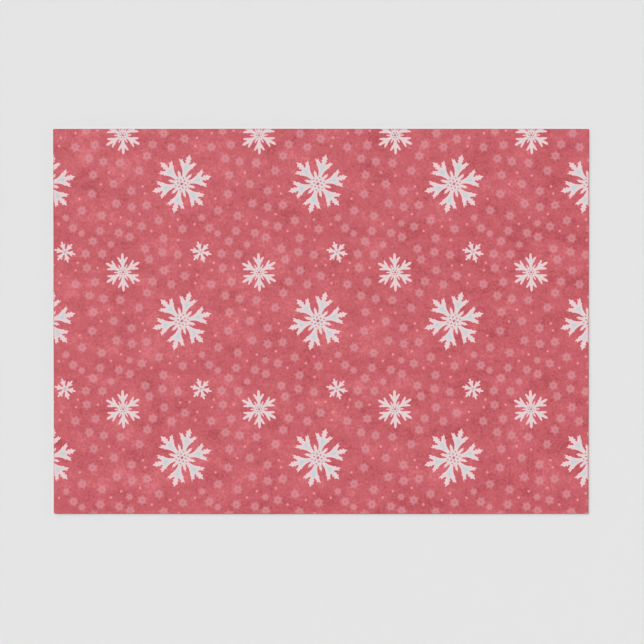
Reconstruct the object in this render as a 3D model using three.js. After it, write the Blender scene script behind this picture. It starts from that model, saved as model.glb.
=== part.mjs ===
// A loose pack of flat gift-wrapping sheets, lying in register.
//
// Millimetres, +Z up. The origin is the middle of the pack's underside. +X runs along the long edges and
// +Y along the short ones. Each sheet is its own solid. It lies a hair above the one below, because loose
// paper traps air, and it can be lifted straight off.
import * as THREE from 'three';

// Driving dimensions.
const SHEET_COUNT = 10;
const SHEET_LENGTH = 354.0;
const SHEET_WIDTH = 254.6;
const PAPER_THICKNESS = 0.1;
const AIR_GAP = 0.05;

// Loose sheets never lie exactly in line: each one sits this far off, and this far turned, at most.
const JOG_ACROSS = 0.12;
const JOG_ALONG = 0.18;
const TURN = THREE.MathUtils.degToRad(0.02);
const GOLDEN_ANGLE = Math.PI * (3 - Math.sqrt(5));

// A guillotine's cut bows by a fraction of a millimetre over a long edge.
const EDGE_BOW = 0.12;
const EDGE_STEPS = 8;

const PRINTED_RED = '#c8626b';
const PAPER_ROUGHNESS = 0.7;

/** Points along one cut edge, from corner a up to but not including corner b, bowed outwards by bow. */
function cutEdge(a, b, bow) {
  const along = b.clone().sub(a);
  const outwards = new THREE.Vector2(along.y, -along.x).normalize();
  const points = [];
  for (let step = 0; step < EDGE_STEPS; step += 1) {
    const share = step / EDGE_STEPS;
    const lift = bow * Math.sin(Math.PI * share);
    points.push(a.clone().addScaledVector(along, share).addScaledVector(outwards, lift));
  }
  return points;
}

/** The outline of a sheet: four square corners joined by four guillotine cuts. */
function sheetOutline() {
  const halfLength = SHEET_LENGTH / 2;
  const halfWidth = SHEET_WIDTH / 2;
  const corners = [
    new THREE.Vector2(-halfLength, -halfWidth),
    new THREE.Vector2(halfLength, -halfWidth),
    new THREE.Vector2(halfLength, halfWidth),
    new THREE.Vector2(-halfLength, halfWidth),
  ];
  return corners.flatMap((corner, index) => {
    const next = corners[(index + 1) % corners.length];
    const bow = index % 2 === 0 ? EDGE_BOW : -EDGE_BOW;
    return cutEdge(corner, next, bow);
  });
}

function printedPaper() {
  return new THREE.MeshStandardMaterial({
    color: PRINTED_RED,
    roughness: PAPER_ROUGHNESS,
    metalness: 0,
  });
}

/** One sheet of paper, level 0 being the bottom one. */
function makeSheet(outline, level) {
  const geometry = new THREE.ExtrudeGeometry(new THREE.Shape(outline), {
    depth: PAPER_THICKNESS,
    bevelEnabled: false,
  });
  const sheet = new THREE.Mesh(geometry, printedPaper());
  const spin = level * GOLDEN_ANGLE;
  const unsettled = level === 0 ? 0 : 1;
  sheet.name = `sheet_${String(level + 1).padStart(2, '0')}`;
  sheet.position.set(
    unsettled * JOG_ALONG * Math.cos(spin),
    unsettled * JOG_ACROSS * Math.sin(spin),
    level * (PAPER_THICKNESS + AIR_GAP),
  );
  sheet.rotation.z = unsettled * TURN * Math.sin(2 * spin);
  return sheet;
}

const pack = new THREE.Group();
pack.name = 'wrapping_sheet_pack';
const outline = sheetOutline();
for (let level = 0; level < SHEET_COUNT; level += 1) {
  pack.add(makeSheet(outline, level));
}

export default pack;
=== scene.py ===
import math
import random

import bpy
import numpy as np
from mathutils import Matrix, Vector
from mathutils.geometry import delaunay_2d_cdt


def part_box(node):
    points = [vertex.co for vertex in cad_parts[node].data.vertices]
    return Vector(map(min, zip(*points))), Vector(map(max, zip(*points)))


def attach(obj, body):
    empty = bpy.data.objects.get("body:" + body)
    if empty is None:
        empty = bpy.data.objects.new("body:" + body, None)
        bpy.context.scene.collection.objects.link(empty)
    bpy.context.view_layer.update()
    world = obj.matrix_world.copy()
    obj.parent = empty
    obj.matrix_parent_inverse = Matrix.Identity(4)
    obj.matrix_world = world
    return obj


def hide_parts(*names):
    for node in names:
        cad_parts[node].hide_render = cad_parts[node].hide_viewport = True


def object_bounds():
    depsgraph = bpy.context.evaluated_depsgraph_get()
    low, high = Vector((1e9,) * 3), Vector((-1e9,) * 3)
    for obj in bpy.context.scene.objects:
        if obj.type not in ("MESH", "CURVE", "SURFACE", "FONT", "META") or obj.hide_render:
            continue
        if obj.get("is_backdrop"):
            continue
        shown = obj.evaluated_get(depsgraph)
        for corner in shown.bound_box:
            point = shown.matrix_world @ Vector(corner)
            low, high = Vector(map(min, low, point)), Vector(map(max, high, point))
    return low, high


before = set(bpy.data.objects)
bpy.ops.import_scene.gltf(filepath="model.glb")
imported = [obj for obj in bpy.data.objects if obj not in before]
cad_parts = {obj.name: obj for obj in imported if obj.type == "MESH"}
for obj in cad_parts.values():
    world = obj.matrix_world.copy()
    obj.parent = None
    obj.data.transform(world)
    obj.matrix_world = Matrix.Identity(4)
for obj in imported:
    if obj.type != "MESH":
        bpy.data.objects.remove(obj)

CAD_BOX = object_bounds()

# A loose pack of flat gift-wrapping sheets. Each sheet is a closed mesh: a printed face, whose triangles
# follow the print's outlines, a plain reverse, and the cut edge between them.
# Blender's unit is the metre. The print is drawn in millimetres from the middle of the sheet.
MM = 0.001

# ---------------------------------------------------------------- the frame's sheets

SHEET_NAMES = sorted(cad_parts)
SHEET_BOXES = [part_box(name) for name in SHEET_NAMES]
TOP_LEVEL = len(SHEET_NAMES) - 1
LENGTH, WIDTH, THICKNESS = ((SHEET_BOXES[0][1] - SHEET_BOXES[0][0]) / MM)[:]
HALF_LENGTH = LENGTH / 2
HALF_WIDTH = WIDTH / 2

# ---------------------------------------------------------------- the print's design

# The size of one repeat, and in it the places of its three white flakes, from the middle of the sheet, with
# their radii, all in millimetres. Turns are in degrees.
REPEAT = (90.0, 90.6)
LARGE_FLAKE = {"at": (-2.0, 0.4), "radius": 20.3, "turn": 14.5}
MEDIUM_FLAKE = {"at": (-41.0, 32.6), "radius": 12.6, "turn": 31.7}
SMALL_FLAKE = {"at": (10.6, 46.0), "radius": 7.3, "turn": 47.5}

# The faint flakes and the dots fill one repeat by a rule: each goes to the roomiest of its thrown places.
# Each faint flake is turned by a step more than the one before.
TINY_RADIUS = 3.6
TINY_COUNT = 36
TINIEST_RADIUS = 2.9
TINIEST_COUNT = 4
TINY_TURN_STEP = 23.0
DOT_RADIUS = 1.0
DOT_COUNT = 21
SCATTER_SEED = 12
THROWS = 40

ARMS = 6
ARM_STEP = 360 / ARMS
HALF_WAY = 0.5

# An arm is half an outline, from its root to its tip, as (along, across) shares of the flake's radius. Its
# ribs are points inside it, so that the ink can change with its depth.
FERN_ARM = [
    (0.15, 0.058), (0.30, 0.064), (0.42, 0.094), (0.51, 0.142), (0.57, 0.188), (0.60, 0.228),
    (0.64, 0.212), (0.69, 0.265), (0.785, 0.305), (0.745, 0.235), (0.795, 0.200), (0.73, 0.160),
    (0.70, 0.118), (0.66, 0.074), (0.73, 0.056), (0.765, 0.100), (0.82, 0.058), (0.865, 0.098),
    (0.91, 0.042), (1.0, 0.0),
]
FERN_RIBS = [
    (0.24, 0), (0.32, 0), (0.40, 0), (0.48, 0), (0.56, 0), (0.64, 0), (0.71, 0), (0.78, 0), (0.84, 0),
    (0.90, 0), (0.95, 0), (0.50, 0.070), (0.57, 0.090), (0.63, 0.130), (0.68, 0.185), (0.72, 0.225),
]
TRIDENT_ARM = [
    (0.15, 0.072), (0.36, 0.080), (0.46, 0.118), (0.55, 0.172), (0.59, 0.212), (0.64, 0.210),
    (0.70, 0.258), (0.80, 0.290), (0.805, 0.220), (0.74, 0.150), (0.655, 0.084), (0.76, 0.072),
    (0.93, 0.066), (0.98, 0.037), (1.02, 0.0),
]
TRIDENT_RIBS = [
    (0.26, 0), (0.34, 0), (0.42, 0), (0.50, 0), (0.58, 0), (0.66, 0), (0.75, 0), (0.84, 0), (0.93, 0),
    (0.58, 0.095), (0.66, 0.150), (0.74, 0.218),
]
STUB_ARM = [
    (0.14, 0.100), (0.32, 0.106), (0.48, 0.158), (0.60, 0.215), (0.70, 0.268), (0.74, 0.230),
    (0.69, 0.145), (0.72, 0.086), (0.88, 0.082), (0.96, 0.058), (1.0, 0.0),
]
STUB_RIBS = [(0.32, 0), (0.44, 0), (0.56, 0), (0.68, 0), (0.80, 0), (0.90, 0), (0.56, 0.09), (0.65, 0.18)]
INNER_LEAF = [(0.16, 0.030), (0.24, 0.055), (0.32, 0.040), (0.37, 0.052), (0.41, 0.025), (0.47, 0.0)]
LEAF_RIBS = [(0.24, 0), (0.30, 0), (0.36, 0), (0.41, 0)]
INNER_SPIKE = [(0.16, 0.040), (0.30, 0.040), (0.42, 0.034), (0.48, 0.0)]
SPIKE_RIBS = [(0.26, 0), (0.38, 0)]

# The disc in a white flake's middle, in shares of the flake's radius. Its eyes are round or lobed holes,
# each (distance out, size, how many, lobing). Its slots are six holes between the arms.
LARGE_DISC = {
    "radius": 0.215,
    "eyes": [(0.0, 0.050, 1, 0.35), (0.20, 0.022, ARMS, 0.0)],
    "slots": {"distance": 0.125, "length": 0.075, "width": 0.042},
}
MEDIUM_DISC = {
    "radius": 0.24,
    "eyes": [(0.0, 0.058, 1, 0.25), (0.20, 0.018, ARMS, 0.0)],
    "slots": {"distance": 0.130, "length": 0.080, "width": 0.052},
}
SMALL_DISC = {
    "radius": 0.27,
    "eyes": [(0.0, 0.060, 1, 0.0)],
    "slots": {"distance": 0.160, "length": 0.080, "width": 0.055},
}
DISC_RIBS = 0.75

# A tiny flake is a lobed ring, in shares of its radius, with ribs on a smaller ring.
TINY_RING = 0.84
TINY_LOBING = 0.19
TINY_RIBS = 0.34

# How many points go round each shape.
DISC_STEPS = 24
DISC_RIB_STEPS = 12
EYE_STEPS = 12
SLOT_STEPS = 10
TINY_STEPS = 30
DOT_STEPS = 12

# A point's depth in the ink is its distance from the outline, in millimetres. On the disc, and on the arms
# as far out as their root, it is taken to be DISC_INK.
ARM_ROOT = 0.2
DISC_INK = 0.9

# ---------------------------------------------------------------- what the triangles are printed with

# These are in the order of the sheet's materials. The last two are only for outlines.
GROUND, WHITE, TINT, DOT, REVERSE, CUT = range(6)
HOLE = -1
SHEET_AREA = -2


class PrintPlan:
    """The printed face, flat: outlines and loose points, which one triangulation joins."""

    def __init__(self):
        self.points = []
        self.inks = []
        self.outlines = []
        self.kinds = []
        self.motifs = []

    def add_points(self, points, ink_depth):
        """Loose points. ink_depth, one number or one for each, is how deep in the ink they count as."""
        self.points.extend(points)
        self.inks.extend(np.broadcast_to(ink_depth, len(points)))

    def add_outline(self, points, kind, ink_depth=0.0):
        first = len(self.points)
        self.add_points(points, ink_depth)
        self.outlines.append(list(range(first, len(self.points))))
        self.kinds.append(kind)


def placed(points, at, radius, degrees):
    """Points given as shares of a radius, turned and moved to their place."""
    cos, sin = math.cos(math.radians(degrees)), math.sin(math.radians(degrees))
    return [
        (at[0] + radius * (x * cos - y * sin), at[1] + radius * (x * sin + y * cos))
        for x, y in points
    ]


def mirrored(half_outline):
    """A whole outline, anticlockwise, from the half on one side of the axis."""
    return [(x, -y) for x, y in half_outline] + [(x, y) for x, y in reversed(half_outline) if y > 0]


def depths_inside(points, outline):
    """How far each point is from the nearest stretch of a closed outline."""
    starts = np.array(outline)
    runs = np.roll(starts, -1, axis=0) - starts
    offsets = np.array(points)[:, None] - starts
    shares = np.clip((offsets * runs).sum(axis=2) / (runs**2).sum(axis=1), 0, 1)
    return np.linalg.norm(offsets - shares[..., None] * runs, axis=2).min(axis=1)


def ring(radius, steps, lobing=0.0):
    """A closed ring of points. lobing is the share by which its six lobes rise and fall."""
    points = []
    for step in range(steps):
        angle = math.tau * step / steps
        out = radius * (1 + lobing * math.cos(ARMS * angle))
        points.append((out * math.cos(angle), out * math.sin(angle)))
    return points


def draw_arms(plan, flake, arm, ribs, between=0.0):
    """Six arms alike. between, 0 to 1, is how far round towards the next arm they are turned."""
    at, radius = flake["at"], flake["radius"]
    outline = mirrored(arm)
    edge_ink = [0.0 if x > ARM_ROOT else DISC_INK for x, _ in outline]
    both_sides = sorted(set(ribs + [(x, -y) for x, y in ribs]))
    rib_ink = depths_inside(both_sides, outline) * radius
    for number in range(ARMS):
        degrees = flake["turn"] + (number + between) * ARM_STEP
        plan.add_outline(placed(outline, at, radius, degrees), WHITE, edge_ink)
        plan.add_points(placed(both_sides, at, radius, degrees), rib_ink)


def draw_disc(plan, flake, disc):
    """The white disc in a flake's middle, with its holes."""
    at, radius, turn = flake["at"], flake["radius"], flake["turn"]
    plan.add_outline(placed(ring(disc["radius"], DISC_STEPS), at, radius, turn), WHITE, DISC_INK)
    ribs = ring(disc["radius"] * DISC_RIBS, DISC_RIB_STEPS)
    plan.add_points(placed(ribs, at, radius, turn), DISC_INK)
    for eye in disc["eyes"]:
        draw_eyes(plan, flake, *eye)
    draw_slots(plan, flake, **disc["slots"])


def draw_eyes(plan, flake, distance, size, count, lobing):
    """Round or lobed holes, one in line with each arm, or a single one in the middle."""
    radius, turn = flake["radius"], flake["turn"]
    eye = ring(size, EYE_STEPS, lobing)
    for number in range(count):
        middle = placed([(distance, 0)], flake["at"], radius, turn + number * ARM_STEP)[0]
        plan.add_outline(placed(eye, middle, radius, turn), HOLE, DISC_INK)


def draw_slots(plan, flake, distance, length, width):
    """Six slots between the arms, each length by width, which point at the flake's middle."""
    slot = [(distance + length * x, width * y) for x, y in ring(1 / 2, SLOT_STEPS)]
    for number in range(ARMS):
        degrees = flake["turn"] + (number + HALF_WAY) * ARM_STEP
        plan.add_outline(placed(slot, flake["at"], flake["radius"], degrees), HOLE, DISC_INK)


def draw_large_flake(plan, flake):
    draw_arms(plan, flake, FERN_ARM, FERN_RIBS)
    draw_arms(plan, flake, INNER_LEAF, LEAF_RIBS, between=HALF_WAY)
    draw_disc(plan, flake, LARGE_DISC)


def draw_medium_flake(plan, flake):
    draw_arms(plan, flake, TRIDENT_ARM, TRIDENT_RIBS)
    draw_arms(plan, flake, INNER_SPIKE, SPIKE_RIBS, between=HALF_WAY)
    draw_disc(plan, flake, MEDIUM_DISC)


def draw_small_flake(plan, flake):
    draw_arms(plan, flake, STUB_ARM, STUB_RIBS)
    draw_disc(plan, flake, SMALL_DISC)


def draw_tiny_flake(plan, at, radius, turn):
    outline = ring(TINY_RING, TINY_STEPS, TINY_LOBING)
    ribs = ring(TINY_RIBS, ARMS) + [(0.0, 0.0)]
    plan.add_outline(placed(outline, at, radius, turn), TINT)
    plan.add_points(placed(ribs, at, radius, turn), depths_inside(ribs, outline) * radius)


def draw_dot(plan, at):
    plan.add_outline(placed(ring(1.0, DOT_STEPS), at, DOT_RADIUS, 0), DOT)
    plan.add_points([at], DOT_RADIUS)


def room_between(first, second):
    """The clear space between two motifs, each (x, y, radius), the repeat joining up with itself."""
    apart = [abs(a - b) % side for a, b, side in zip(first, second, REPEAT)]
    return math.hypot(*(min(d, side - d) for d, side in zip(apart, REPEAT))) - first[2] - second[2]


def scatter(motifs, count, radius, dice):
    """Adds count motifs to those already in the repeat, and returns the new ones' places."""
    first_new = len(motifs)
    for _ in range(count):
        throws = [(dice.uniform(0, REPEAT[0]), dice.uniform(0, REPEAT[1]), radius) for _ in range(THROWS)]
        motifs.append(max(throws, key=lambda throw: min(room_between(throw, motif) for motif in motifs)))
    return [(x, y) for x, y, _ in motifs[first_new:]]


def repeats(plan, at, radius):
    """Every place on the sheet where the repeat puts a motif. The plan's motifs gain its (x, y, radius)."""
    columns = math.ceil(HALF_LENGTH / REPEAT[0]) + 1
    rows = math.ceil(HALF_WIDTH / REPEAT[1]) + 1
    for column in range(-columns, columns + 1):
        for row in range(-rows, rows + 1):
            x = at[0] + column * REPEAT[0]
            y = at[1] + row * REPEAT[1]
            if abs(x) < HALF_LENGTH + radius and abs(y) < HALF_WIDTH + radius:
                plan.motifs.append((x, y, radius))
                yield x, y


def draw_print(plan):
    """The whole print, from the boldest motif to the faintest."""
    white = [
        (LARGE_FLAKE, draw_large_flake),
        (MEDIUM_FLAKE, draw_medium_flake),
        (SMALL_FLAKE, draw_small_flake),
    ]
    for flake, draw in white:
        for at in repeats(plan, flake["at"], flake["radius"]):
            draw(plan, {**flake, "at": at})
    motifs = [(*flake["at"], flake["radius"]) for flake, _ in white]
    dice = random.Random(SCATTER_SEED)
    for count, radius in ((TINY_COUNT, TINY_RADIUS), (TINIEST_COUNT, TINIEST_RADIUS)):
        for number, place in enumerate(scatter(motifs, count, radius, dice)):
            for at in repeats(plan, place, radius):
                draw_tiny_flake(plan, at, radius, number * TINY_TURN_STEP)
    for place in scatter(motifs, DOT_COUNT, DOT_RADIUS, dice):
        for at in repeats(plan, place, DOT_RADIUS):
            draw_dot(plan, at)


# ---------------------------------------------------------------- the sheet's outline and how it lies

# Lengths are in millimetres. The long cuts bow, and every cut wavers a little. The corners are nipped off,
# and the blade presses the rim down. The points of the grid keep clear of the motifs.
EDGE_BOW = 0.12
EDGE_WAVER = 0.05
EDGE_STEP = 3.5
EDGE_PHASE_STEP = 1.7
CORNER_NIP = 0.5
RIM = 0.8
RIM_PRESS = 0.012
GRID_STEP = 7.0
GRID_CLEARANCE = 0.4
CREASE_DEGREES = 35.0

# Each ripple is (height, wavelength, direction in degrees, phase), and each corner lift (corner, height).
RIPPLES = [(0.13, 128.0, 20.0, 0.4), (0.07, 83.0, 75.0, 1.9), (0.05, 61.0, -35.0, 3.1)]
CORNER_LIFTS = [((1, 1), 0.30), ((-1, 1), 0.12), ((-1, -1), 0.22), ((1, -1), 0.16)]
LIFT_REACH = 70.0


def cut_line(start, end, bow, phase):
    """One guillotine cut, a touch unsteady, whose ends lie further in than its middle, by bow."""
    start, end = Vector(start), Vector(end)
    run = end - start
    inwards = Vector((-run.y, run.x)).normalized()
    first = start + run.normalized() * CORNER_NIP
    run = run - 2 * run.normalized() * CORNER_NIP
    steps = round(run.length / EDGE_STEP)
    points = []
    for step in range(steps + 1):
        share = step / steps
        unsteady = EDGE_WAVER * (1 + math.sin(2 * math.tau * share + phase)) / 2
        depth = bow * (1 - math.sin(math.pi * share)) + unsteady * math.sin(math.pi * share)
        points.append(tuple(first + run * share + inwards * depth))
    return points


def sheet_outline():
    """The sheet's outline, inside the frame's box, anticlockwise from the lower left corner."""
    corners = [
        (-HALF_LENGTH, -HALF_WIDTH),
        (HALF_LENGTH, -HALF_WIDTH),
        (HALF_LENGTH, HALF_WIDTH),
        (-HALF_LENGTH, HALF_WIDTH),
    ]
    outline = []
    for side, start in enumerate(corners):
        end = corners[(side + 1) % len(corners)]
        bow = EDGE_BOW if side % 2 == 0 else 0.0
        outline += cut_line(start, end, bow, phase=EDGE_PHASE_STEP * side)
    return outline


def inset(outline, depth):
    """The outline again, depth further in on every side."""
    along, across = 1 - depth / HALF_LENGTH, 1 - depth / HALF_WIDTH
    return [(x * along, y * across) for x, y in outline]


def grid_points(motifs=()):
    """Points all over the sheet but for its motifs, each (x, y, radius). They let it ripple."""
    columns, rows = round(LENGTH / GRID_STEP), round(WIDTH / GRID_STEP)
    points = []
    for column in range(1, columns):
        for row in range(1, rows):
            point = (-HALF_LENGTH + column * GRID_STEP, -HALF_WIDTH + row * GRID_STEP)
            if all(math.dist(point, (x, y)) > radius + GRID_CLEARANCE for x, y, radius in motifs):
                points.append(point)
    return points


def rim_share(xy):
    """1 on the cut edge, falling to 0 at the rim's inner side."""
    inside = np.minimum(HALF_LENGTH - np.abs(xy[:, 0]), HALF_WIDTH - np.abs(xy[:, 1]))
    return np.clip(1 - inside / RIM, 0, 1)


def lie_of_sheet(xy, level):
    """How far each point of a sheet is off dead flat. The sheets nest, and the higher ones ripple more."""
    share = level / TOP_LEVEL
    height = np.zeros(len(xy))
    for crest, wavelength, degrees, phase in RIPPLES:
        direction = np.array([math.cos(math.radians(degrees)), math.sin(math.radians(degrees))])
        height += share * crest * (1 + np.sin(math.tau * (xy @ direction) / wavelength + phase)) / 2
    for (side_x, side_y), lift in CORNER_LIFTS:
        corner = np.array([side_x * HALF_LENGTH, side_y * HALF_WIDTH])
        near = np.clip(1 - np.linalg.norm(xy - corner, axis=1) / LIFT_REACH, 0, 1)
        height += share**2 * lift * near**2
    return height


# ---------------------------------------------------------------- flat layouts, made once for all sheets


def triangulate(points, outlines):
    """(points, triangles, what each new point came from, the outlines that each triangle is inside)."""
    vectors = [Vector(point) for point in points]
    keep_all, closeness, with_origins = 0, 1e-5, True
    made = delaunay_2d_cdt(vectors, [], outlines, keep_all, closeness, with_origins)
    xy, _, triangles, from_points, _, from_outlines = made
    return np.array([v[:] for v in xy]), triangles, from_points, from_outlines


def printed_with(outlines, kinds):
    """What a triangle inside these outlines is printed with: a hole beats white, and white beats a tint."""
    inside = {kinds[number] for number in outlines}
    if HOLE in inside:
        return GROUND
    return next((kind for kind in (WHITE, DOT, TINT) if kind in inside), GROUND)


def printed_face():
    """(points, triangles, what each is printed with, how deep in its ink each point is)."""
    plan = PrintPlan()
    outline = sheet_outline()
    plan.add_outline(outline, SHEET_AREA)
    plan.add_outline(inset(outline, RIM), GROUND)
    draw_print(plan)
    plan.add_points(grid_points(plan.motifs), 0.0)
    xy, triangles, from_points, from_outlines = triangulate(plan.points, plan.outlines)
    sheet = plan.kinds.index(SHEET_AREA)
    on_sheet = [index for index, outlines in enumerate(from_outlines) if sheet in outlines]
    # Where outlines cross, which is mostly in the discs, there is a new point that comes from neither.
    inks = [max((plan.inks[i] for i in origins), default=DISC_INK) for origins in from_points]
    kinds = [printed_with(from_outlines[index], plan.kinds) for index in on_sheet]
    triangles = np.array([triangles[index] for index in on_sheet])
    used, triangles = np.unique(triangles, return_inverse=True)
    return xy[used], triangles.reshape(-1, 3), np.array(kinds), np.array(inks)[used]


def edge_loop(triangles):
    """The points round the edge of a layout, in order."""
    sides = np.concatenate([triangles[:, [0, 1]], triangles[:, [1, 2]], triangles[:, [2, 0]]])
    known = {tuple(side) for side in sides}
    following = {a: b for a, b in known if (b, a) not in known}
    loop = [min(following)]
    while following[loop[-1]] != loop[0]:
        loop.append(following[loop[-1]])
    return loop


def plain_face(loop_xy):
    """The reverse's (points, triangles): the same edge points first, then a plain grid."""
    points = [tuple(point) for point in loop_xy]
    outlines = [list(range(len(points)))]
    xy, triangles, from_points, from_outlines = triangulate(points + grid_points(), outlines)
    order = np.argsort([min(origins) for origins in from_points])
    place = np.argsort(order)
    inside = [triangle for triangle, outlines in zip(triangles, from_outlines) if outlines]
    return xy[order], place[np.array(inside)]


FACE_XY, FACE_TRIANGLES, FACE_KINDS, FACE_INKS = printed_face()
LOOP = edge_loop(FACE_TRIANGLES)
REVERSE_XY, REVERSE_TRIANGLES = plain_face(FACE_XY[LOOP])


def cut_wall(first_reverse):
    """The cut edge's triangles, between the printed face's loop of edge points and the reverse's."""
    above = np.array(LOOP)
    below = first_reverse + np.arange(len(LOOP))
    next_above, next_below = np.roll(above, -1), np.roll(below, -1)
    return np.concatenate([
        np.column_stack([above, below, next_below]),
        np.column_stack([above, next_below, next_above]),
    ])


def add_share(mesh, name, values):
    attribute = mesh.attributes.new(name, "FLOAT", "POINT")
    attribute.data.foreach_set("value", values.astype(np.float32))


def sheet_mesh(name, level):
    """A whole sheet at its place in the pack, as one closed mesh."""
    low, high = (np.array(corner) / MM for corner in SHEET_BOXES[level])
    middle = (low + high) / 2
    first_reverse = len(FACE_XY)
    face_z = low[2] + lie_of_sheet(FACE_XY, level) + THICKNESS - RIM_PRESS * rim_share(FACE_XY) ** 2
    reverse_z = low[2] + lie_of_sheet(REVERSE_XY, level)
    xy = np.concatenate([FACE_XY, REVERSE_XY]) + middle[:2]
    points = np.column_stack([xy, np.concatenate([face_z, reverse_z])]) * MM
    reverse = REVERSE_TRIANGLES[:, ::-1] + first_reverse
    wall = cut_wall(first_reverse)
    triangles = np.concatenate([FACE_TRIANGLES, reverse, wall])
    kinds = np.concatenate([FACE_KINDS, np.full(len(reverse), REVERSE), np.full(len(wall), CUT)])
    mesh = bpy.data.meshes.new(name)
    mesh.from_pydata(points.tolist(), [], triangles.tolist())
    mesh.polygons.foreach_set("material_index", kinds.astype(np.int32))
    mesh.polygons.foreach_set("use_smooth", np.ones(len(triangles), bool))
    mesh.set_sharp_from_angle(angle=math.radians(CREASE_DEGREES))
    add_share(mesh, "ink_depth", np.concatenate([FACE_INKS, np.zeros(len(REVERSE_XY))]))
    add_share(mesh, "rim", np.concatenate([rim_share(FACE_XY), rim_share(REVERSE_XY)]))
    mesh.update()
    return mesh


# ---------------------------------------------------------------- materials


def linear(red, green, blue):
    """A screen colour, 0 to 255, as the linear colour that a shader takes, by the sRGB standard's curve."""
    shares = [channel / 255 for channel in (red, green, blue)]
    return tuple(s / 12.92 if s <= 0.04045 else ((s + 0.055) / 1.055) ** 2.4 for s in shares) + (1.0,)


# A noise's fine detail counts for this much. A mix of colours uses these of the Mix node's sockets.
NOISE_ROUGHNESS = 0.55
MIX_SHARE, MIX_FIRST, MIX_SECOND = 0, 6, 7
MIX_RESULT = 2


class Shader:
    """A material's node tree, with short calls for the nodes that these materials use."""

    def __init__(self, name, roughness, specular):
        self.material = bpy.data.materials.new(name)
        self.material.use_nodes = True
        self.tree = self.material.node_tree
        self.bsdf = self.tree.nodes["Principled BSDF"]
        self.bsdf.inputs["Roughness"].default_value = roughness
        self.bsdf.inputs["Specular IOR Level"].default_value = specular
        self.coordinates = self.scaled(self.add("ShaderNodeTexCoord").outputs["Object"], (1 / MM,) * 3)

    def add(self, kind, **settings):
        node = self.tree.nodes.new(kind)
        for name, value in settings.items():
            setattr(node, name, value)
        return node

    def feed(self, socket, value):
        """Puts a number, a colour or another node's output into a socket."""
        if isinstance(value, bpy.types.NodeSocket):
            self.tree.links.new(value, socket)
        else:
            socket.default_value = value

    def scaled(self, vector, factors):
        node = self.add("ShaderNodeVectorMath", operation="MULTIPLY")
        self.feed(node.inputs[0], vector)
        self.feed(node.inputs[1], factors)
        return node.outputs["Vector"]

    def share(self, name):
        return self.add("ShaderNodeAttribute", attribute_name=name).outputs["Fac"]

    def noise(self, size, detail, stretch=(1, 1, 1)):
        """Noise whose lumps are about size millimetres, longer by stretch along each axis."""
        node = self.add("ShaderNodeTexNoise")
        self.feed(node.inputs["Vector"], self.scaled(self.coordinates, tuple(1 / s for s in stretch)))
        node.inputs["Scale"].default_value = 1 / size
        node.inputs["Detail"].default_value = detail
        node.inputs["Roughness"].default_value = NOISE_ROUGHNESS
        return node.outputs["Fac"]

    def maths(self, operation, first, second=0.0):
        node = self.add("ShaderNodeMath", operation=operation)
        self.feed(node.inputs[0], first)
        self.feed(node.inputs[1], second)
        return node.outputs["Value"]

    def spread(self, value, low, high, to_low=0.0, to_high=1.0):
        """value, smoothly, from low..high to to_low..to_high."""
        node = self.add("ShaderNodeMapRange", interpolation_type="SMOOTHSTEP")
        for socket, number in zip(node.inputs[:5], (value, low, high, to_low, to_high)):
            self.feed(socket, number)
        return node.outputs["Result"]

    def mix(self, share, first, second):
        """From the first colour, at 0, to the second, at 1."""
        node = self.add("ShaderNodeMix", data_type="RGBA")
        self.feed(node.inputs[MIX_SHARE], share)
        self.feed(node.inputs[MIX_FIRST], first)
        self.feed(node.inputs[MIX_SECOND], second)
        return node.outputs[MIX_RESULT]

    def bump(self, height, depth):
        """Relief from a height of 0 to 1 that is depth millimetres deep."""
        node = self.add("ShaderNodeBump")
        node.inputs["Strength"].default_value = 1.0
        node.inputs["Distance"].default_value = depth * MM
        self.feed(node.inputs["Height"], height)
        self.feed(self.bsdf.inputs["Normal"], node.outputs["Normal"])

    def colour(self, value):
        self.feed(self.bsdf.inputs["Base Color"], value)


RED_DEEP = linear(178, 70, 80)
RED = linear(198, 91, 100)
RED_PALE = linear(217, 113, 121)
RED_SEAM = linear(190, 76, 84)
RIM_SHADE = linear(168, 84, 92)
INK_WHITE = linear(206, 211, 212)
INK_WHITE_WARM = linear(222, 213, 214)
INK_EDGE = linear(240, 198, 202)
INK_SHADE = linear(201, 204, 208)
TINT_MIDDLE = linear(198, 136, 142)
TINT_LOBE = linear(222, 152, 158)
DOT_PINK = linear(237, 147, 152)
PAPER = linear(236, 233, 227)
PAPER_SHADE = linear(222, 217, 208)
CUT_PALE = linear(238, 231, 226)
CUT_RED = linear(216, 158, 160)

# How far in from an outline, in millimetres, the white stops being thin, the white turns to its grey middle,
# the pinks reach their full strength, and the tiny flakes' ink pools.
THIN_INK = 1.4
SHADED_INK = (1.0, 2.3)
SOFT_INK = 0.8
POOLED_INK = (1.1, 2.1)

# How opaque the thin inks are, at their outline and deep in them.
TINT_OPACITY = (0.35, 0.62)
DOT_OPACITY = (0.45, 0.95)

PAPER_ROUGHNESS = 0.72
INK_ROUGHNESS = 0.58
PAPER_SPECULAR = 0.22

# The paper's relief, in millimetres: lumps, a weave, and how deep they are on each surface.
LUMP_SIZE = 0.9
WEAVE_SIZE = 0.55
WEAVE_STRETCH = 5.0
PRINT_RELIEF = 0.012
REVERSE_RELIEF = 0.016
CUT_RELIEF = 0.02

# The ground's mottling: each layer's lumps, in millimetres, and its weight. The sum is deep red at the low
# level, plain red at the middle one and pale red at the high one. The drift is painted light, as if falling
# from the left: what the sum gains at the left and loses at the right.
PATCH_SIZE, PATCH_WEIGHT = 16.0, 0.34
PATCH_STRETCH = 1.5
CLOUD_SIZE, CLOUD_WEIGHT = 5.0, 0.20
SPECK_SIZE, SPECK_WEIGHT = 1.7, 0.32
RELIEF_WEIGHT = 0.14
MOTTLE_LOW, MOTTLE_MIDDLE, MOTTLE_HIGH = 0.38, 0.50, 0.62
PAINTED_LIGHT_DRIFT = 0.012

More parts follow.
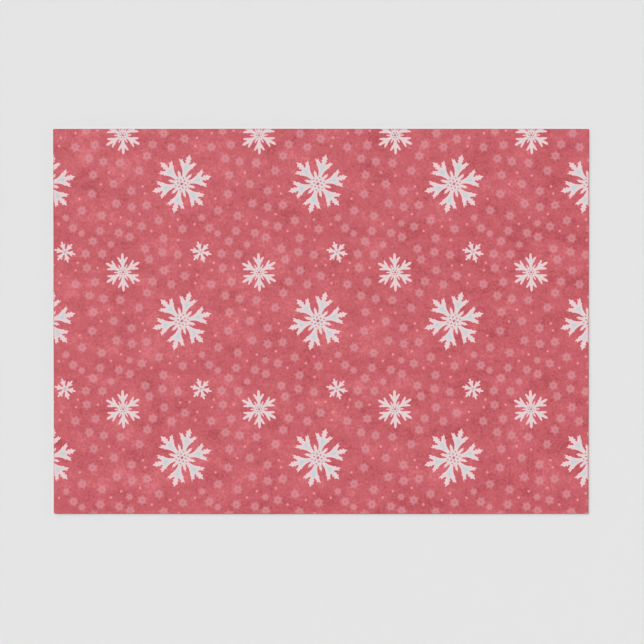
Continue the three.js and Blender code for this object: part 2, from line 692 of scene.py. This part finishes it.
# The seam: how far above a large flake it lies and how far it wavers, in millimetres, how soon it starts
# and fades, in shares of the repeat, and how strong it is on dark and on pale patches.
SEAM_Y = 56.0
SEAM_WAVER = 3.0
SEAM_START = 0.02
SEAM_FADE = 0.17
SEAM_PATCHES = (0.35, 0.65)
SEAM_STRENGTH = (0.10, 0.55)

# Where the dark line on the rim starts, as a share of the way across it to the edge, and how dark it gets.
RIM_START = 0.2
RIM_DARKNESS = 0.7

# The other materials' noises: their lumps, in millimetres, what the fibres weigh in the reverse's tone, and
# the levels between which the cut edge's stain comes in.
WASH_SIZE = 2.2
REVERSE_CLOUD_SIZE = 7.0
FIBRE_SIZE = 0.7
FIBRE_STRETCH = 6.0
FIBRE_WEIGHT = 0.4
STAIN_SIZE = 1.4
STAINED = (0.40, 0.70)
CUT_FIBRE_SIZE = 0.12


def paper_relief(shader, depth):
    """The felt-side texture of uncoated paper: fine lumps with a faint crosswise and lengthwise weave."""
    lumps = shader.noise(LUMP_SIZE, detail=3)
    lengthwise = shader.noise(WEAVE_SIZE, detail=1, stretch=(WEAVE_STRETCH, 1, 1))
    crosswise = shader.noise(WEAVE_SIZE, detail=1, stretch=(1, WEAVE_STRETCH, 1))
    weave = shader.maths("ADD", lengthwise, crosswise)
    height = shader.maths("MULTIPLY", shader.maths("ADD", lumps, weave), 1 / 3)
    shader.bump(height, depth)
    return height


def seam_share(shader, patches):
    """Strongest just above each seam of the printing plate, fading upwards, broken up by the patches."""
    split = shader.add("ShaderNodeSeparateXYZ")
    shader.feed(split.inputs[0], shader.coordinates)
    unsteady = shader.maths("MULTIPLY", patches, SEAM_WAVER)
    from_seam = shader.maths("SUBTRACT", split.outputs["Y"], LARGE_FLAKE["at"][1] + SEAM_Y)
    in_repeats = shader.maths("DIVIDE", shader.maths("ADD", from_seam, unsteady), REPEAT[1])
    share = shader.maths("FRACT", in_repeats)
    start = shader.spread(share, 0.0, SEAM_START)
    fade = shader.spread(share, 0.0, SEAM_FADE, 1.0, 0.0)
    strength = shader.spread(patches, *SEAM_PATCHES, *SEAM_STRENGTH)
    return shader.maths("MULTIPLY", shader.maths("MULTIPLY", start, fade), strength)


def red_ground(shader, height):
    """The mottled red: patches, clouds, specks and the paper's relief, with painted light that makes it
    lighter at the left and darker at the right.
    """
    split = shader.add("ShaderNodeSeparateXYZ")
    shader.feed(split.inputs[0], shader.coordinates)
    # Painted light: the red is lighter at the left and darker at the right, as if lit from the left.
    painted_light = shader.spread(split.outputs["X"], -HALF_LENGTH, HALF_LENGTH, PAINTED_LIGHT_DRIFT, -PAINTED_LIGHT_DRIFT)
    patches = shader.noise(PATCH_SIZE, detail=3, stretch=(PATCH_STRETCH, 1, 1))
    layers = [
        (patches, PATCH_WEIGHT),
        (shader.noise(CLOUD_SIZE, detail=2), CLOUD_WEIGHT),
        (shader.noise(SPECK_SIZE, detail=2), SPECK_WEIGHT),
        (height, RELIEF_WEIGHT),
    ]
    mottle = painted_light
    for layer, weight in layers:
        mottle = shader.maths("ADD", mottle, shader.maths("MULTIPLY", layer, weight))
    darker = shader.mix(shader.spread(mottle, MOTTLE_LOW, MOTTLE_MIDDLE), RED_DEEP, RED)
    mottled = shader.mix(shader.spread(mottle, MOTTLE_MIDDLE, MOTTLE_HIGH), darker, RED_PALE)
    return shader.mix(seam_share(shader, patches), mottled, RED_SEAM)


def with_rim(shader, colour):
    """A thin line that darkens the colour towards the cut edge."""
    darkness = shader.spread(shader.share("rim"), RIM_START, 1.0, 0.0, RIM_DARKNESS)
    return shader.mix(darkness, colour, RIM_SHADE)


def ground_material():
    shader = Shader("red_print", INK_ROUGHNESS, PAPER_SPECULAR)
    height = paper_relief(shader, PRINT_RELIEF)
    shader.colour(with_rim(shader, red_ground(shader, height)))
    return shader.material


def white_material():
    """Opaque white ink: mottled, greyer in its middle, and thin at its outline, where the red warms it."""
    shader = Shader("white_print", INK_ROUGHNESS, PAPER_SPECULAR)
    paper_relief(shader, PRINT_RELIEF)
    wash = shader.noise(WASH_SIZE, detail=3)
    white = shader.mix(shader.spread(wash, MOTTLE_LOW, MOTTLE_HIGH), INK_WHITE, INK_WHITE_WARM)
    depth = shader.share("ink_depth")
    inside = shader.mix(shader.spread(depth, *SHADED_INK), white, INK_SHADE)
    ink = shader.mix(shader.spread(depth, 0.0, THIN_INK), INK_EDGE, inside)
    shader.colour(with_rim(shader, ink))
    return shader.material


def tint_material():
    """Thin pink ink, through which the ground's mottling shows. It pools greyer in the middle."""
    shader = Shader("pink_print", INK_ROUGHNESS, PAPER_SPECULAR)
    height = paper_relief(shader, PRINT_RELIEF)
    depth = shader.share("ink_depth")
    ink = shader.mix(shader.spread(depth, *POOLED_INK), TINT_LOBE, TINT_MIDDLE)
    opacity = shader.spread(depth, 0.0, SOFT_INK, *TINT_OPACITY)
    shader.colour(with_rim(shader, shader.mix(opacity, red_ground(shader, height), ink)))
    return shader.material


def dot_material():
    """Pink ink, nearly opaque but for its outline."""
    shader = Shader("dot_print", INK_ROUGHNESS, PAPER_SPECULAR)
    height = paper_relief(shader, PRINT_RELIEF)
    opacity = shader.spread(shader.share("ink_depth"), 0.0, SOFT_INK, *DOT_OPACITY)
    shader.colour(with_rim(shader, shader.mix(opacity, red_ground(shader, height), DOT_PINK)))
    return shader.material


def reverse_material():
    """The bare back of the paper, with long fibres and a cloudy look-through."""
    shader = Shader("paper_reverse", PAPER_ROUGHNESS, PAPER_SPECULAR)
    paper_relief(shader, REVERSE_RELIEF)
    clouds = shader.noise(REVERSE_CLOUD_SIZE, detail=4)
    fibres = shader.noise(FIBRE_SIZE, detail=2, stretch=(FIBRE_STRETCH, 1, 1))
    cloudiness = shader.maths("MULTIPLY", clouds, 1 - FIBRE_WEIGHT)
    tone = shader.maths("ADD", cloudiness, shader.maths("MULTIPLY", fibres, FIBRE_WEIGHT))
    shader.colour(shader.mix(shader.spread(tone, MOTTLE_LOW, MOTTLE_HIGH), PAPER_SHADE, PAPER))
    return shader.material


def cut_material():
    """The cut edge: pale fibre, stained here and there by the ink that the blade dragged down."""
    shader = Shader("paper_cut_edge", PAPER_ROUGHNESS, PAPER_SPECULAR)
    stain = shader.noise(STAIN_SIZE, detail=3)
    shader.colour(shader.mix(shader.spread(stain, *STAINED), CUT_PALE, CUT_RED))
    shader.bump(shader.noise(CUT_FIBRE_SIZE, detail=2), CUT_RELIEF)
    return shader.material


MATERIALS = [
    ground_material(),
    white_material(),
    tint_material(),
    dot_material(),
    reverse_material(),
    cut_material(),
]


# ---------------------------------------------------------------- floor, light and camera

# Lengths are in metres, but the sensor's width is in millimetres. Angles are in degrees. The frame's width
# is how much the camera sees across at the top of the pack.
FLOOR_GREY = linear(229, 229, 229)
FLOOR_RADIUS = 4.0
SWEEP_RADIUS = 4.0
SWEEP_STEPS = 16
ROUND_STEPS = 96
FRAME_WIDTH = 0.4262
CAMERA_HEIGHT = 1.5
CAMERA_TILT = 0.9
SENSOR = 36.0
AIM_OFFSET = (0.00053, -0.00024)


def sweep_profile():
    """(distance out, height) along the floor and up the curve of its rim, which ends upright."""
    profile = [(FLOOR_RADIUS, 0.0)]
    for step in range(1, SWEEP_STEPS + 1):
        angle = math.pi / 2 * step / SWEEP_STEPS
        out = FLOOR_RADIUS + SWEEP_RADIUS * math.sin(angle)
        height = SWEEP_RADIUS * (1 - math.cos(angle))
        profile.append((out, height))
    return profile


def make_floor():
    """A round studio floor that sweeps up into its own pale backdrop."""
    points, faces = [], [tuple(range(ROUND_STEPS))]
    for level, (out, height) in enumerate(sweep_profile()):
        for step in range(ROUND_STEPS):
            angle = math.tau * step / ROUND_STEPS
            points.append((out * math.cos(angle), out * math.sin(angle), height))
            if level > 0:
                here = level * ROUND_STEPS + step
                beside = level * ROUND_STEPS + (step + 1) % ROUND_STEPS
                faces.append((here - ROUND_STEPS, here, beside, beside - ROUND_STEPS))
    mesh = bpy.data.meshes.new("floor")
    mesh.from_pydata(points, [], faces)
    mesh.polygons.foreach_set("use_smooth", np.ones(len(faces), bool))
    floor = bpy.data.objects.new("floor", mesh)
    bpy.context.scene.collection.objects.link(floor)
    material = bpy.data.materials.new("floor_grey")
    material.use_nodes = True
    bsdf = material.node_tree.nodes["Principled BSDF"]
    bsdf.inputs["Base Color"].default_value = FLOOR_GREY
    bsdf.inputs["Roughness"].default_value = 1.0
    bsdf.inputs["Specular IOR Level"].default_value = 0.0
    mesh.materials.append(material)
    floor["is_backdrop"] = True
    return floor


def make_sun(name, azimuth, elevation, spread, share):
    """A far, soft light, which stands at azimuth from +X. share is its part of a white floor's light."""
    light = bpy.data.lights.new(name, "SUN")
    light.angle = math.radians(spread)
    light.energy = math.pi * share / math.sin(math.radians(elevation))
    sun = bpy.data.objects.new(name, light)
    bpy.context.scene.collection.objects.link(sun)
    a, e = math.radians(azimuth), math.radians(elevation)
    towards_light = Vector((math.cos(a) * math.cos(e), math.sin(a) * math.cos(e), math.sin(e)))
    sun.rotation_mode = "QUATERNION"
    sun.rotation_quaternion = (-towards_light).to_track_quat("-Z", "Y")


def make_light():
    """A key light from the upper left, a broad light from above, and a little from everywhere."""
    key, above, around = 0.30, 0.53, 0.10
    make_sun("key", azimuth=135, elevation=45, spread=50, share=key)
    make_sun("above", azimuth=100, elevation=84, spread=30, share=above)
    world = bpy.data.worlds.new("studio")
    world.use_nodes = True
    background = world.node_tree.nodes["Background"]
    background.inputs["Color"].default_value = (1, 1, 1, 1)
    background.inputs["Strength"].default_value = around
    bpy.context.scene.world = world
    bpy.context.scene.view_settings.view_transform = "Standard"


def make_camera():
    """Straight above the pack, but for a hair's tilt, through a long lens."""
    low, high = CAD_BOX
    aim = Vector(((low.x + high.x) / 2 + AIM_OFFSET[0], (low.y + high.y) / 2 + AIM_OFFSET[1], high.z))
    tilt = math.radians(CAMERA_TILT)
    back = Vector((0, math.sin(tilt), math.cos(tilt)))
    data = bpy.data.cameras.new("camera")
    data.sensor_width = SENSOR
    data.lens = SENSOR * CAMERA_HEIGHT / FRAME_WIDTH
    camera = bpy.data.objects.new("camera", data)
    bpy.context.scene.collection.objects.link(camera)
    camera.location = aim + back * CAMERA_HEIGHT
    camera.rotation_euler = (-tilt, 0, 0)
    bpy.context.scene.camera = camera


# ---------------------------------------------------------------- the pack


def make_sheets(floor):
    """Each sheet rides on its CAD node and replaces it. The bottom one rests on the floor."""
    for level, node in enumerate(SHEET_NAMES):
        mesh = sheet_mesh(f"{node}_paper", level)
        for material in MATERIALS:
            mesh.materials.append(material)
        sheet = bpy.data.objects.new(f"{node}_paper", mesh)
        bpy.context.scene.collection.objects.link(sheet)
        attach(sheet, node)
        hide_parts(node)


make_camera()
make_light()
make_sheets(make_floor())

boxes = {"cad": CAD_BOX, "visual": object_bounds()}
{name: [list(corner) for corner in box] for name, box in boxes.items()}
